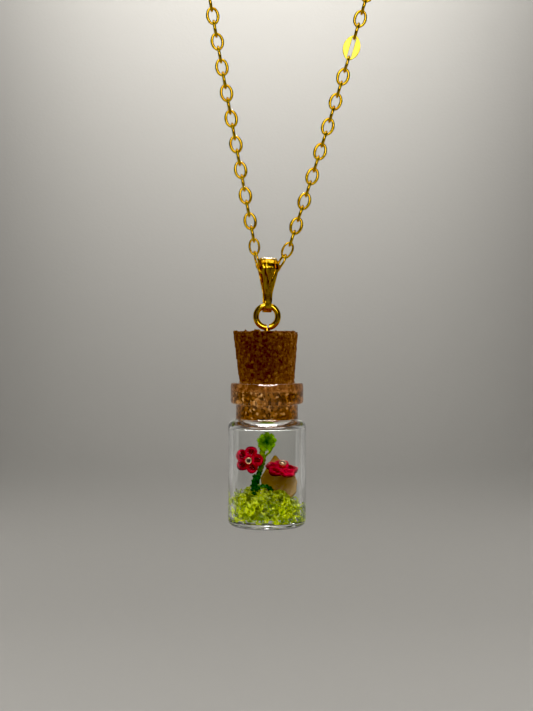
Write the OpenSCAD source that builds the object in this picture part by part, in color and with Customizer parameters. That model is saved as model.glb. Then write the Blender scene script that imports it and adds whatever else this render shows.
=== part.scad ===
// Bottle pendant: a corked glass vial with two thread flowers in it, on a bail and a fine cable chain.
// The vial's base centre is worked out first, and the whole necklace is then moved so that
// the origin lies under the clasp, where the back of a neck carries the chain.
// +Z is up and the vial's flowers face -Y.

/* [Vial] */
// Outer diameter of the glass vial
vial_d = 13; // [11.5:0.1:14]
// Height of the vial from its base to the top of its lip
vial_h = 24; // [23:0.5:27]
// Thickness of the glass wall
glass_wall = 0.95; // [0.8:0.05:1.1]
// Thickness of the glass floor
glass_floor = 1; // [0.8:0.1:1.3]
// Outer diameter of the lip round the mouth
lip_d = 12.2; // [11.4:0.1:12.8]
// Height of the lip
lip_h = 3.6; // [3:0.1:4]
// Outer diameter of the neck under the lip
neck_d = 10.4; // [10.2:0.1:10.8]
// Height of the bare neck between lip and shoulder
neck_h = 2.6; // [2.2:0.1:3]
// Bore of the neck, which the cork fills
bore_d = 9.3; // [8.9:0.1:9.5]
// Radius of the rounded edges of the lip
lip_round = 0.5; // [0.3:0.05:0.8]
// Radius of the rounded outer edge of the base
base_round = 1; // [0.6:0.1:1.3]
// Radius of the rounded shoulder
shoulder_round = 1.2; // [0.9:0.1:1.25]

/* [Cork] */
// Diameter of the cork's top face
cork_top_d = 10.9; // [10.2:0.1:11.6]
// Height of the cork above the lip
cork_out = 8.6; // [7:0.2:10]
// Depth of the cork inside the neck
cork_in = 6.5; // [5.5:0.1:6.6]
// Bevel round the cork's top and bottom edges
cork_bevel = 0.25; // [0.1:0.05:0.5]
// Gap between the cork and the neck's bore
cork_gap = 0.03; // [0.02:0.01:0.1]

/* [Screw eye] */
// Outer diameter of the screw eye's ring
eye_d = 4.6; // [4.2:0.1:5.2]
// Wire diameter of the screw eye
eye_wire = 0.93; // [0.8:0.05:1]
// Length of the shank in the cork
shank_len = 5; // [3:0.5:7]
// Gap between the shank and its hole in the cork
shank_gap = 0.03; // [0.02:0.01:0.1]
// Gap between the ring and the top of the cork
eye_lift = 0.1; // [0.05:0.05:0.3]
// Width of the ring's open seam beside the shank
eye_seam = 0.12; // [0.05:0.01:0.3]

/* [Bail] */
// Distance from the centre of the hook to the centre of the tube
bail_drop = 5.95; // [5.5:0.05:6.6]
// Inner radius of the tube that the chain runs through
tube_r = 1.62; // [1.6:0.02:1.8]
// Inner radius of the hook that holds the ring
hook_r = 0.8; // [0.78:0.02:0.86]
// Height of the hook's centre above the ring wire that it carries
hook_rise = 0.06; // [0.04:0.01:0.08]
// Thickness of the bail's sheet metal
sheet = 0.34; // [0.3:0.02:0.4]
// Width of the bail at its top
bail_w = 2.76; // [2.4:0.02:2.9]
// Width of the bail at the hook
hook_w = 1.04; // [0.8:0.02:1.1]
// Height above the hook's centre where the taper ends
taper_h = 1.9; // [1.2:0.1:2.6]
// Turn of the bail about the vertical
bail_yaw = 12; // [8:1:14]
// Lean of the bail to the right
bail_lean = 1.8; // [0:0.2:3]

/* [Chain] */
// Wire diameter of the chain's links
wire_d = 0.38; // [0.32:0.02:0.4]
// Outer width of a link
link_w = 2.28; // [2.2:0.02:2.36]
// Distance between the centres of neighbouring links
pitch = 2.17; // [2.1:0.01:2.3]
// Gap between the wires of two linked links
link_gap = 0.13; // [0.12:0.01:0.16]
// Number of links on each side of the bail
side_links = 102; // [90:1:106]
// Number of links on each side that go round the neck
arc_links = 28; // [20:1:34]
// Length of the pressed link
pressed_len = 4.5; // [4:0.1:5]
// Width of the pressed link
pressed_w = 2.9; // [2.5:0.1:3.2]
// Thickness of the pressed link
pressed_t = 0.26; // [0.2:0.02:0.3]
// Width of the slit in the pressed link
slit_w = 0.68; // [0.62:0.02:0.8]
// Metal left beyond each end of the slit
slit_end = 0.42; // [0.35:0.02:0.6]

/* [Clasp] */
// Distance between the links that the clasp joins
clasp_len = 12; // [10:0.5:15]
// Diameter of the clasp's barrel
clasp_d = 3.4; // [2.8:0.1:4]
// Thickness of the eye plate at each end of the clasp
clasp_t = 0.9; // [0.7:0.05:0.95]
// Diameter of the eye at each end of the clasp
clasp_eye_d = 1.7; // [1.5:0.1:2]
// Metal round each eye of the clasp
clasp_rim = 0.7; // [0.6:0.05:0.8]
// Play of the end links in the clasp's eyes
clasp_play = 0.24; // [0.22:0.02:0.3]

/* [Flowers] */
// Diameter of the left flower
left_d = 4.7; // [4.2:0.1:5]
// Diameter of the right flower
right_d = 5; // [4.6:0.1:5.2]
// Thickness of a flower
flower_t = 0.9; // [0.7:0.05:1.1]
// Diameter of the beads
bead_d = 1.2; // [1:0.05:1.4]
// Diameter of the beads' holes
bead_hole = 0.45; // [0.3:0.05:0.6]
// Turn of the left flower about its own middle
left_turn = 15; // [0:1:30]
// Tilt of the right flower towards the viewer
right_tilt = 20; // [10:1:35]
// Lean of the right flower down to the right
right_lean = 8; // [0:1:12]
// Height of the right flower's centre above the glass floor
right_up = 8.65; // [8.6:0.05:10]

/* [Leaf and stem] */
// Width and height of the leaf bud
bud_d = 3; // [2.6:0.1:3.4]
// Thickness of the leaf bud
bud_t = 1.6; // [1.2:0.1:2]
// Distance from the cork's underside down to the bud's centre
bud_drop = 3.4; // [3.2:0.1:4.5]
// Diameter of the stem under the bud
stem_d = 0.9; // [0.7:0.05:1.1]
// Diameter of the stem's foot
foot_d = 1.4; // [1.1:0.1:1.6]

/* [Filling] */
// Height of the shredded filling at its highest place
shred_h = 5.3; // [4.5:0.1:6]
// Radius of the filling's rounded top
shred_dome = 10; // [8:0.5:16]
// Sideways shift of the filling's highest place
shred_shift = -1.2; // [-2:0.1:0]
// Gap between the filling and the glass
shred_gap = 0.05; // [0.03:0.01:0.2]
// Thickness of the stone chip
chip_t = 1; // [0.8:0.1:1.1]
// Width of the stone chip
chip_w = 6.1; // [5.4:0.1:6.4]
// Height of the stone chip
chip_h = 7.4; // [6.4:0.1:8]
// Lean of the stone chip away from the viewer
chip_lean = 8; // [4:1:10]
// Turn of the stone chip's right end towards the viewer
chip_turn = 14; // [10:1:18]
// Gap between neighbouring pieces in the vial
seat_gap = 0.06; // [0.04:0.01:0.15]

/* [Hidden] */
$fn = 48;
EPS = 0.01;

// Places in the pendant, measured from the middle of the vial's base.
lip_z = vial_h - lip_h;
shoulder_z = lip_z - neck_h;
cavity_r = vial_d / 2 - glass_wall;
cavity_top_z = shoulder_z - glass_wall;
cavity_round = 0.7;
cork_top_z = vial_h + cork_out;
cork_in_r = bore_d / 2 - cork_gap;
bud_up = vial_h - cork_in - bud_drop - glass_floor;
// The left flower's share of the way from the heap's top to the bud's centre.
left_share = 8 / 13;
left_up = shred_h + left_share * (bud_up - shred_h);
eye_ring_r = (eye_d - eye_wire) / 2;
eye_z = cork_top_z + eye_lift + eye_d / 2;
hook_z = eye_z + eye_ring_r + hook_rise;
tube_x = bail_drop * sin(bail_lean);
tube_z = hook_z + bail_drop * cos(bail_lean);

// The three links nearest the bail's middle on each side, counted outward.
// Lean is from upright, roll is about the link's length, and slack is the extra overlap
// with the next link outward, which keeps the wires apart where the chain bends.
LEAN = 0;
ROLL = 1;
SLACK = 2;
BEND_LEFT = [
    [51.9, 45, 0.052],
    [15.6, -74, 0],
    [5, 0, 0.015]
];
BEND_RIGHT = [
    [63.2, 45, 0.023],
    [29.1, -64, 0.003],
    [25, 0, 0.015]
];
// Centres of the first link on each side, from the centre of the bail's tube.
START_LEFT = [-0.82, 0.07];
START_RIGHT = [0.78, -0.09];

// Lean of each strand from upright, at the bail and above the stretch that bows.
LOW = 0;
HIGH = 1;
LEAN_LEFT = [10.7, 9.9];
LEAN_RIGHT = [18.3, 15.8];
bowed_links = 20;

// The pressed link takes the place of this link of the right side.
pressed_place = 18;
NO_PLACE = -1;

link_half = pitch / 2 + link_gap / 2 + wire_d;
link_bend_r = (link_w - wire_d) / 2;
link_side = 2 * (link_half - wire_d / 2 - link_bend_r);
pressed_reach = pressed_len / 2 - slit_end - link_gap / 2;
first_arc = side_links - arc_links;

// Unit step outward along a link, in X and Z; side is -1 on the left and 1 on the right.
function step_dir(side, lean) = [side * sin(lean), cos(lean)];

function strand_lean(i, bend, lean) =
    i < len(bend) ? bend[i][LEAN]
    : lean[LOW] + (lean[HIGH] - lean[LOW]) * min(1, (i - len(bend)) / bowed_links);

// Round the neck each link leans further inward, until the last one lies nearly level.
function link_lean(i, bend, lean, turn) =
    strand_lean(i, bend, lean) - max(0, i - first_arc + 1) * turn * (90 + lean[HIGH]) / arc_links;

function link_roll(i, bend) = i < len(bend) ? bend[i][ROLL] : (i - len(bend) + 1) % 2 * 90;
function link_slack(i, bend) = i < len(bend) ? bend[i][SLACK] : 0;
function link_reach(i, special) = i == special ? pressed_reach : pitch / 2;

function link_centres(side, start, bend, lean, special, turn) = [
    for (
        i = 0, p = start;
        i < side_links;
        p = p + (link_reach(i, special) - link_slack(i, bend))
                * step_dir(side, link_lean(i, bend, lean, turn))
              + (link_reach(i + 1, special) - link_slack(i, bend))
                * step_dir(side, link_lean(i + 1, bend, lean, turn)),
        i = i + 1
    ) p
];

function tube_centre() = [tube_x, tube_z];
function left_centres(turn) =
    link_centres(-1, tube_centre() + START_LEFT, BEND_LEFT, LEAN_LEFT, NO_PLACE, turn);
function right_centres(turn) =
    link_centres(1, tube_centre() + START_RIGHT, BEND_RIGHT, LEAN_RIGHT, pressed_place, turn);
function left_end(turn) =
    left_centres(turn)[side_links - 1]
    + pitch / 2 * step_dir(-1, link_lean(side_links - 1, BEND_LEFT, LEAN_LEFT, turn));
function right_end(turn) =
    right_centres(turn)[side_links - 1]
    + pitch / 2 * step_dir(1, link_lean(side_links - 1, BEND_RIGHT, LEAN_RIGHT, turn));
function end_gap(turn) =
    let (d = right_end(turn) - left_end(turn))
    sign(d.x) * norm(d);

// The amount of turn at which the two strands end just as far apart as the clasp reaches.
function closing_turn(low, high, tries) =
    let (mid = (low + high) / 2)
    tries == 0 ? mid
    : end_gap(mid) > clasp_len ? closing_turn(mid, high, tries - 1)
    : closing_turn(low, mid, tries - 1);

turn = closing_turn(0.5, 1.4, 30);
LEFT = left_centres(turn);
RIGHT = right_centres(turn);
clasp_span = right_end(turn) - left_end(turn);
clasp_mid = (right_end(turn) + left_end(turn)) / 2;
clasp_tilt = atan2(clasp_span.y, clasp_span.x);

// The origin lies on the underside of the clasp's barrel.
origin = clasp_mid + clasp_d / 2 * [sin(clasp_tilt), -cos(clasp_tilt)];

module in_place() {
    translate([-origin.x, 0, -origin.y]) children();
}

// A round rod between two points.
module rod(a, b, d) {
    v = b - a;
    translate(a)
        rotate([0, acos(v.z / norm(v)), atan2(v.y, v.x)])
            cylinder(d = d, h = norm(v));
}

// Half of a section to be turned: its outer corners are rounded below and above.
module round_half(r, h, low, high) {
    translate([0, low]) square([r, h - low - high]);
    square([r - low, h / 2]);
    translate([0, h / 2]) square([r - high, h / 2]);
    translate([r - low, low]) circle(low);
    translate([r - high, h - high]) circle(high);
}

// One link, with its length along Z and its width along X.
module cable_link() {
    for (end = [-1, 1]) {
        translate([0, 0, end * link_side / 2])
            rotate([90, 0, 0])
                rotate([0, 0, end < 0 ? 180 : 0])
                    rotate_extrude(angle = 180) translate([link_bend_r, 0]) circle(d = wire_d);
        translate([end * link_bend_r, 0, -link_side / 2])
            cylinder(d = wire_d, h = link_side);
    }
}

// A flat pointed oval with a slit, with its length along Z.
module flat_link() {
    arc_r = (pow(pressed_len / 2, 2) + pow(pressed_w / 2, 2)) / pressed_w;
    slit = pressed_len - 2 * slit_end - slit_w;
    rotate([90, 0, 0])
        linear_extrude(height = pressed_t, center = true)
            difference() {
                intersection() {
                    translate([arc_r - pressed_w / 2, 0]) circle(arc_r, $fn = 160);
                    translate([pressed_w / 2 - arc_r, 0]) circle(arc_r, $fn = 160);
                }
                square([slit_w, slit], center = true);
                for (end = [-1, 1]) translate([0, end * slit / 2]) circle(d = slit_w);
            }
}

module link_place(side, i, centre, bend, lean) {
    in_place()
        translate([centre.x, 0, centre.y])
            rotate([0, side * link_lean(i, bend, lean, turn), 0])
                rotate([0, 0, link_roll(i, bend)])
                    children();
}

module chain_left() {
    color("goldenrod")
        for (i = [0:side_links - 1])
            link_place(-1, i, LEFT[i], BEND_LEFT, LEAN_LEFT) cable_link();
}

module chain_right() {
    color("goldenrod")
        for (i = [0:side_links - 1])
            if (i != pressed_place)
                link_place(1, i, RIGHT[i], BEND_RIGHT, LEAN_RIGHT) cable_link();
}

module pressed_link() {
    color("gold")
        link_place(1, pressed_place, RIGHT[pressed_place], BEND_RIGHT, LEAN_RIGHT) flat_link();
}

// A plain barrel with an eye plate at each end for the last link of each strand.
module clasp() {
    eye_x = clasp_len / 2 + clasp_play - clasp_eye_d / 2;
    barrel = 2 * (eye_x - clasp_eye_d / 2 - 0.1);
    bevel = clasp_d / 8;
    plate_roll = link_roll(side_links - 1, BEND_LEFT) - 90;
    color("goldenrod")
        in_place()
            translate([clasp_mid.x, 0, clasp_mid.y])
                rotate([0, -clasp_tilt, 0])
                    rotate([plate_roll, 0, 0])
                        difference() {
                            union() {
                                rotate([0, 90, 0])
                                    cylinder(d = clasp_d, h = barrel - 2 * bevel, center = true);
                                for (end = [-1, 1])
                                    translate([end * (barrel / 2 - bevel), 0, 0])
                                        rotate([0, end * 90, 0])
                                            cylinder(r1 = clasp_d / 2, r2 = clasp_d / 2 - bevel, h = bevel);
                                for (end = [-1, 1])
                                    translate([end * eye_x, 0, 0])
                                        rotate([90, 0, 0])
                                            cylinder(
                                                d = clasp_eye_d + 2 * clasp_rim,
                                                h = clasp_t,
                                                center = true
                                            );
                            }
                            for (end = [-1, 1])
                                translate([end * eye_x, 0, 0])
                                    rotate([90, 0, 0])
                                        cylinder(d = clasp_eye_d, h = clasp_d + 1, center = true);
                        }
}

// Side outline of the bail: a big circle round the chain, a small one round the ring,
// and the two straight sides that touch both.
module teardrop(big, small) {
    a = asin((big - small) / bail_drop);
    circle(small);
    translate([0, bail_drop]) circle(big);
    polygon([
        [small * cos(a), small * sin(a)],
        [big * cos(a), bail_drop + big * sin(a)],
        [-big * cos(a), bail_drop + big * sin(a)],
        [-small * cos(a), small * sin(a)]
    ]);
}

module bail() {
    top = bail_drop + tube_r + sheet + 1;
    bottom = -hook_r - sheet - 1;
    color("gold")
        in_place()
            translate([0, 0, hook_z])
                rotate([0, bail_lean, 0])
                    rotate([0, 0, bail_yaw])
                        intersection() {
                            rotate([90, 0, 90])
                                linear_extrude(height = bail_w + 1, center = true)
                                    difference() {
                                        teardrop(tube_r + sheet, hook_r + sheet);
                                        teardrop(tube_r, hook_r);
                                    }
                            rotate([90, 0, 0])
                                linear_extrude(height = 4 * tube_r + 4 * sheet, center = true)
                                    polygon([
                                        [-hook_w / 2, bottom],
                                        [hook_w / 2, bottom],
                                        [hook_w / 2, taper_h],
                                        [bail_w / 2, bail_drop],
                                        [bail_w / 2, top],
                                        [-bail_w / 2, top],
                                        [-bail_w / 2, bail_drop],
                                        [-hook_w / 2, taper_h]
                                    ]);
                        }
}

// A wire ring whose end stops short of its own shank, which goes down into the cork.
module screw_eye() {
    seam_angle = asin((eye_wire / 2 + eye_seam) / eye_ring_r);
    point_h = eye_wire;
    shank_z = eye_z - eye_ring_r;
    foot_z = cork_top_z - shank_len;
    color("gold")
        in_place() {
            translate([0, 0, eye_z])
                rotate([90, 0, 0])
                    rotate([0, 0, seam_angle - 90])
                        rotate_extrude(angle = 360 - seam_angle)
                            translate([eye_ring_r, 0]) circle(d = eye_wire);
            translate([0, 0, shank_z]) sphere(d = eye_wire);
            translate([0, 0, foot_z + point_h]) cylinder(d = eye_wire, h = shank_z - foot_z - point_h);
            translate([0, 0, foot_z]) cylinder(r1 = 0.05, r2 = eye_wire / 2, h = point_h);
        }
}

module cork() {
    hole = shank_len + shank_gap;
    color("peru")
        in_place()
            difference() {
                rotate_extrude()
                    polygon([
                        [0, vial_h - cork_in],
                        [cork_in_r - cork_bevel, vial_h - cork_in],
                        [cork_in_r, vial_h - cork_in + cork_bevel],
                        [cork_in_r, vial_h],
                        [cork_top_d / 2, cork_top_z - cork_bevel],
                        [cork_top_d / 2 - cork_bevel, cork_top_z],
                        [0, cork_top_z]
                    ]);
                translate([0, 0, cork_top_z - hole])
                    cylinder(r = eye_wire / 2 + shank_gap, h = hole + 1);
            }
}

module bottle() {
    color("lightcyan", 0.5)
        in_place()
            rotate_extrude()
                difference() {
                    union() {
                        round_half(vial_d / 2, shoulder_z, base_round, shoulder_round);
                        square([neck_d / 2, lip_z + lip_h / 2]);
                        translate([0, lip_z]) round_half(lip_d / 2, lip_h, lip_round, lip_round);
                    }
                    translate([0, glass_floor])
                        round_half(cavity_r, cavity_top_z - glass_floor, cavity_round, cavity_round);
                    translate([0, vial_h / 2]) square([bore_d / 2, vial_h]);
                }
}

// The heap of shredded filling, before its pockets are cut.
module shred_heap() {
    r = cavity_r - shred_gap;
    round_r = cavity_round + shred_gap;
    intersection() {
        translate([0, 0, glass_floor + shred_gap])
            rotate_extrude() round_half(r, shred_h, round_r, EPS);
        translate([shred_shift, 0, glass_floor + shred_h - shred_dome]) sphere(shred_dome);
    }
}

module shred() {
    color("yellowgreen")
        in_place()
            difference() {
                shred_heap();
                chip_body(seat_gap);
                stem_foot(seat_gap);
            }
}

// Outline of the stone chip: shares of its width and height.
CHIP_OUTLINE = [
    [0.02, 0.47],
    [0.36, 1],
    [0.74, 0.66],
    [1, 0.32],
    [0.92, 0.09],
    [0.3, 0],
    [0.05, 0.22]
];
// Place of the chip's outer right end on the glass: angle from +X and height above the floor.
chip_right_angle = 8;
chip_up = 3.4;

// The chip with a margin all round, so that the same shape cuts its pocket.
module chip_body(margin) {
    s = 2 * margin;
    reach = cavity_r - seat_gap - chip_t / 2;
    hinge = reach * [cos(chip_right_angle), sin(chip_right_angle)];
    translate([hinge.x, hinge.y, glass_floor + chip_up])
        rotate([0, 0, -chip_turn])
            rotate([-chip_lean, 0, 0])
                rotate([90, 0, 0])
                    linear_extrude(height = chip_t + s, center = true)
                        polygon([
                            for (p = CHIP_OUTLINE)
                                [
                                    (p.x - 1) * chip_w + (p.x - 0.5) * s,
                                    p.y * chip_h + (p.y - 0.4) * s
                                ]
                        ]);
}

module pebble() {
    color("tan")
        in_place() chip_body(0);
}

// The stem's route: shares of the cavity's radius across and of the bud's height above the floor.
STEM_ROUTE = [
    [-0.35, -0.07, 0.08],
    [-0.35, -0.07, 0.36],
    [-0.28, -0.04, 0.57],
    [-0.1, 0.02, 0.75],
    [-0.02, 0.02, 0.87]
];
function stem_point(k) =
    let (p = STEM_ROUTE[k])
    [p.x * cavity_r, p.y * cavity_r, glass_floor + p.z * bud_up];

// Each bend of the stem is a knot a little thicker than the stretches that meet in it.
STEM_KNOT = 1.08;

// The stem's lower stretches, with a margin all round for the pocket that they stand in.
module stem_foot(margin) {
    for (k = [0, 1]) rod(stem_point(k), stem_point(k + 1), foot_d + 2 * margin);
    translate(stem_point(1)) sphere(d = foot_d * STEM_KNOT + 2 * margin);
}

module stem() {
    color("darkgreen")
        in_place() {
            stem_foot(0);
            for (k = [2, 3]) rod(stem_point(k), stem_point(k + 1), stem_d);
            translate(stem_point(2)) sphere(d = foot_d * STEM_KNOT);
            translate(stem_point(3)) sphere(d = stem_d * STEM_KNOT);
        }
}

// A round bud flattened front to back, seated on the stem's tip.
module leaf_bud() {
    tip = stem_point(4);
    color("olivedrab")
        in_place()
            difference() {
                translate([0, tip.y, glass_floor + bud_up])
                    rotate([90, 0, 0])
                        translate([0, 0, -bud_t / 2])
                            rotate_extrude() round_half(bud_d / 2, bud_t, bud_t * 0.4, bud_t * 0.4);
                rod(stem_point(3), tip + [0, 0, seat_gap], stem_d + 2 * seat_gap);
            }
}

// A flower lying flat with its face up: five round petals, a middle and a seat for its bead.
module flower(d) {
    petals = 5;
    petal_r = d * 0.2;
    edge = flower_t * 0.42;
    difference() {
        union() {
            for (k = [0:petals - 1])
                rotate([0, 0, k * 360 / petals])
                    translate([0, d / 2 - petal_r, -flower_t / 2])
                        rotate_extrude() round_half(petal_r, flower_t, edge, edge);
            translate([0, 0, -flower_t / 2])
                rotate_extrude() round_half(petal_r, flower_t, edge, edge);
        }
        translate([0, 0, bead_rise()]) sphere(d = bead_d + 2 * seat_gap);
    }
}

function bead_rise() = flower_t / 2 + bead_d * 0.3;

module bead() {
    translate([0, 0, bead_rise()])
        difference() {
            sphere(d = bead_d);
            cylinder(d = bead_hole, h = bead_d + 1, center = true);
        }
}

// The left flower stands upright, faces the viewer and touches the glass on the left.
module left_place() {
    y = -0.16 * cavity_r;
    front = -y + flower_t / 2;
    x = sqrt(pow(cavity_r - seat_gap, 2) - front * front) - left_d / 2;
    in_place()
        translate([-x, y, glass_floor + left_up])
            rotate([90, 0, 0])
                rotate([0, 0, -left_turn])
                    children();
}

// The right flower lies nearly flat in front of the chip and close to the glass on the right.
module right_place() {
    y = -0.19 * cavity_r;
    reach = cavity_r - seat_gap - right_d / 2;
    in_place()
        translate([sqrt(reach * reach - y * y), y, glass_floor + right_up])
            rotate([0, right_lean, 0])
                rotate([right_tilt, 0, 0])
                    children();
}

module flower_left() {
    color("mediumvioletred") left_place() flower(left_d);
}

module flower_right() {
    color("mediumvioletred") right_place() flower(right_d);
}

module bead_left() {
    color("peachpuff") left_place() bead();
}

module bead_right() {
    color("peachpuff") right_place() bead();
}

chain_left();
chain_right();
pressed_link();
clasp();
bail();
screw_eye();
cork();
bottle();
shred();
pebble();
stem();
leaf_bud();
flower_left();
flower_right();
bead_left();
bead_right();
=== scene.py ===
# %% [markdown]
# # A bottle pendant on a fine chain
#
# The object is a corked glass vial, 13 mm across and 24 mm high, with two crocheted flowers in it. It hangs
# from a screw eye, a folded bail and a cable chain. The measured solids come from the CAD model, and this
# notebook dresses them: each piece is modelled again in Blender where its real surface is finer than the
# solid, and each gets a finish made of nodes.

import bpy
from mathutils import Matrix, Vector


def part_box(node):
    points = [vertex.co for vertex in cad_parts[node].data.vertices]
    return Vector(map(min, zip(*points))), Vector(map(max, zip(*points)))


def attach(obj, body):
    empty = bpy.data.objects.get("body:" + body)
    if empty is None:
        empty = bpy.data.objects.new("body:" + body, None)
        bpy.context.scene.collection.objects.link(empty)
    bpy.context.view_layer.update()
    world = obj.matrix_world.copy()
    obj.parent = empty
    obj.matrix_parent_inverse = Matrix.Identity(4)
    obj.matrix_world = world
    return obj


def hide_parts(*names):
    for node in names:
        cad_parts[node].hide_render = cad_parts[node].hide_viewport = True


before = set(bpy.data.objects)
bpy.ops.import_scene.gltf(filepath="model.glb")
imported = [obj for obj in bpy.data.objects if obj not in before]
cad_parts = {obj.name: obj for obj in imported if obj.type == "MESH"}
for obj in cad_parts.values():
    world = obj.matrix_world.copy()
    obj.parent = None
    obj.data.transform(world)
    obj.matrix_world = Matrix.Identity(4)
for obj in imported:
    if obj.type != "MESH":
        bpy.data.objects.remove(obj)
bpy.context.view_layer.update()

# %% [markdown]
# ## Tools
#
# Most of the work is done with bpy.ops, which does what the buttons and menus of Blender do. Outlines and
# threads are worked out with plain maths, and bmesh is only used to say what is selected.

# %% Tools
import random
from contextlib import contextmanager
from math import asin, ceil, cos, degrees, hypot, pi, radians, sin, sqrt

import bmesh
import bpy
from mathutils import Matrix, Vector

print("Blender", bpy.app.version_string)

# %% [markdown]
# ## Where things are
#
# The CAD frame is in metres and the vial hangs about 24 cm under the clasp. Small parts are easier to model
# in millimetres round a point of their own, because many tools have a fixed merging distance. So each piece
# is modelled in millimetres from the middle of the vial's base, and shrunk into its place at the end.

# %% The vial's own place
MM = 0.001
vial_low, vial_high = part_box("bottle")
VIAL_X = (vial_low.x + vial_high.x) / 2
VIAL_Z = vial_low.z
VIAL_PLACE = Matrix.Translation((VIAL_X, 0, VIAL_Z)) @ Matrix.Scale(MM, 4)
print(f"vial axis at x {1000 * VIAL_X:.3f} mm, base at z {1000 * VIAL_Z:.3f} mm")

# %% [markdown]
# ## Handling pieces
#
# An operator acts on whatever is selected, so each small job here selects its piece first. A piece is shaped
# in its own millimetres, gets its modifiers applied, is settled into the frame, and is handed over with the
# body that it rides on and the CAD node that it stands for.

# %% Handling pieces
def only(*pieces):
    """Selects these pieces and nothing else."""
    bpy.ops.object.select_all(action="DESELECT")
    for piece in pieces:
        piece.select_set(True)
    bpy.context.view_layer.objects.active = pieces[0]


@contextmanager
def edit_mode(piece):
    only(piece)
    bpy.ops.object.mode_set(mode="EDIT")
    yield
    bpy.ops.object.mode_set(mode="OBJECT")


def pick(piece, test):
    """Selects, in edit mode, the vertices whose place passes the test."""
    bpy.ops.mesh.select_mode(type="VERT")
    bpy.ops.mesh.select_all(action="DESELECT")
    mesh = bmesh.from_edit_mesh(piece.data)
    for vertex in mesh.verts:
        if test(vertex.co):
            vertex.select_set(True)
    mesh.select_flush_mode()
    bmesh.update_edit_mesh(piece.data)


def new_piece(name):
    piece = bpy.context.object
    piece.name = name
    piece.data.name = name
    return piece


def modifier(piece, kind, **settings):
    """Adds a modifier, sets it and applies it."""
    made = piece.modifiers.new(kind.lower(), kind)
    for key, value in settings.items():
        setattr(made, key, value)
    only(piece)
    bpy.ops.object.modifier_apply(modifier=made.name)


def settle(piece, place=VIAL_PLACE):
    """Moves a piece from its own millimetres to its place, which then is in its mesh."""
    bpy.context.view_layer.update()
    piece.matrix_world = place @ piece.matrix_world
    only(piece)
    bpy.ops.object.transform_apply(location=True, rotation=True, scale=True)


def smooth(piece, angle=40):
    only(piece)
    bpy.ops.object.shade_smooth_by_angle(angle=radians(angle))


def joined(name, pieces):
    only(*pieces)
    bpy.ops.object.join()
    return new_piece(name)


def hand_over(piece, body, finish, slot, *nodes):
    """Gives a finished piece its finish, the CAD nodes it stands for and its body; the slot is not used."""
    piece.data.materials.clear()
    piece.data.materials.append(finish)
    if nodes:
        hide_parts(*nodes)
    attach(piece, body)
    triangles = sum(len(face.vertices) - 2 for face in piece.data.polygons)
    print(f"{piece.name}: {triangles} triangles")

# %% [markdown]
# ## Shader maths
#
# A finish is a small calculation, so it reads best as one. A Reading is a socket that can be added to,
# taken from or multiplied by numbers and other sockets, and each sign adds its own Math node. All other
# nodes come from one method of Finish.


# %% Readings and finishes
class Reading:
    """A number, colour or vector on its way through a finish."""

    def __init__(self, finish, socket):
        self.finish = finish
        self.socket = socket

    def maths(self, operation, first, second):
        return self.finish.node("Math", {"operation": operation}, {0: first, 1: second})

    def __add__(self, other):
        return self.maths("ADD", self, other)

    def __sub__(self, other):
        return self.maths("SUBTRACT", self, other)

    def __rsub__(self, other):
        return self.maths("SUBTRACT", other, self)

    def __mul__(self, other):
        return self.maths("MULTIPLY", self, other)

    __radd__ = __add__
    __rmul__ = __mul__


class Finish:
    """A material while its nodes are laid out."""

    def __init__(self, name, world=None):
        self.material = world or bpy.data.materials.new(name)
        self.material.use_nodes = True
        self.tree = self.material.node_tree
        self.tree.nodes.clear()

    def node(self, kind, settings=None, values=None, out=0):
        made = self.tree.nodes.new("ShaderNode" + kind)
        for key, value in (settings or {}).items():
            if key == "stops":
                ramp = made.color_ramp.elements
                while len(ramp) < len(value):
                    ramp.new(0.5)
                for element, (place, colour) in zip(ramp, value):
                    element.position = place
                    element.color = colour
            else:
                setattr(made, key, value)
        for key, value in (values or {}).items():
            if isinstance(value, Reading):
                self.tree.links.new(value.socket, made.inputs[key])
            else:
                made.inputs[key].default_value = value
        return Reading(self, made.outputs[out]) if made.outputs else made

    def place(self, centre=(0, 0, 0), stretch=(1, 1, 1)):
        """Millimetres from a point given from the vial's base."""
        ground = self.node("TexCoord", out=3)
        scale = [s / MM for s in stretch]
        start = (VIAL_X / MM + centre[0], centre[1], VIAL_Z / MM + centre[2])
        shift = [-a * s for a, s in zip(start, stretch)]
        return self.node("Mapping", {}, {"Vector": ground, "Location": shift, "Scale": scale})

    def noise(self, where, scale, detail=3.0, roughness=0.5):
        values = {"Vector": where, "Scale": scale, "Detail": detail, "Roughness": roughness}
        return self.node("TexNoise", {}, values)

    def cells(self, where, scale, feature="F1", out=0):
        return self.node("TexVoronoi", {"feature": feature}, {"Vector": where, "Scale": scale}, out)

    def ramp(self, value, low, high, to_low=0.0, to_high=1.0):
        return self.node(
            "MapRange",
            {"interpolation_type": "SMOOTHSTEP"},
            {"Value": value, "From Min": low, "From Max": high, "To Min": to_low, "To Max": to_high},
        )

    def blend(self, share, first, second):
        return self.node("Mix", {"data_type": "RGBA"}, {0: share, 6: first, 7: second}, 2)

    def height(self, reading, distance):
        return self.node("Bump", {}, {"Height": reading, "Distance": distance * MM, "Strength": 1.0})

    def part(self, vector, axis):
        return self.node("SeparateXYZ", {}, {0: vector}, "XYZ".index(axis))

    def shader(self, **values):
        return self.node("BsdfPrincipled", {}, {k.replace("_", " "): v for k, v in values.items()})

    def done(self, shader):
        self.node("OutputMaterial", {}, {"Surface": shader})
        print("finish:", self.material.name)
        return self.material


def paint(red, green, blue):
    """A colour as it is seen on a screen, 0 to 255, for a colour socket."""
    seen = [c / 255 for c in (red, green, blue)]
    return tuple(c / 12.92 if c <= 0.04045 else ((c + 0.055) / 1.055) ** 2.4 for c in seen) + (1.0,)

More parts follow.
